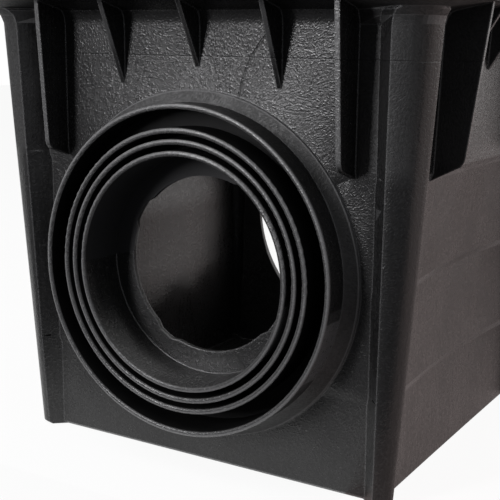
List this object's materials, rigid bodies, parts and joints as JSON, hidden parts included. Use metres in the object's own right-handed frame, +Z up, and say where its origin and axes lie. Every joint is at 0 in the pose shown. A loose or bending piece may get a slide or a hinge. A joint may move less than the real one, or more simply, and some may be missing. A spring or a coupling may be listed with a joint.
{
  "type": "catch basin",
  "caption": "Square moulded drainage catch basin with an open ribbed top for a grate, nested round pipe collars in front and a plain pipe opening behind.",
  "frame": {"origin": "middle of the base, on the surface it stands on", "axes": "+Z up out of the open top, -Y out of the front collars"},
  "size_m": [0.3318, 0.3318, 0.303],
  "materials": {
    "basin_body": "black moulded polypropylene with flow streaks, satin"
  },
  "bodies": {
    "root": {"basin_body": "basin_body"}
  },
  "joints": []
}
